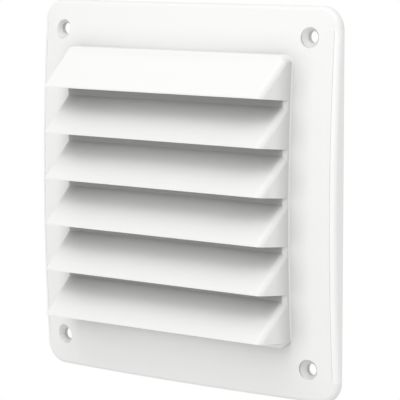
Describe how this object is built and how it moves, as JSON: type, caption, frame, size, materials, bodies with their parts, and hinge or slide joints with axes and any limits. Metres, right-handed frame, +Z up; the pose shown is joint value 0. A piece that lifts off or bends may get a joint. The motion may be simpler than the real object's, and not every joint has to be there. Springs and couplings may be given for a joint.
{
  "type": "outdoor wall vent grille",
  "caption": "Square moulded wall vent grille: a bowed flange with a countersunk screw hole at each corner and sloping rain hoods over the air opening.",
  "frame": {"origin": "centre of the screw pattern, in the middle of the duct opening to half a millimetre, on the plane of the wall", "axes": "+Y into the wall, +Z up along the wall, +X to the right as seen from outside"},
  "size_m": [0.1504, 0.0259, 0.1505],
  "materials": {
    "white_plastic": "satin"
  },
  "bodies": {
    "root": {"vent_grille": "white_plastic"}
  },
  "joints": []
}
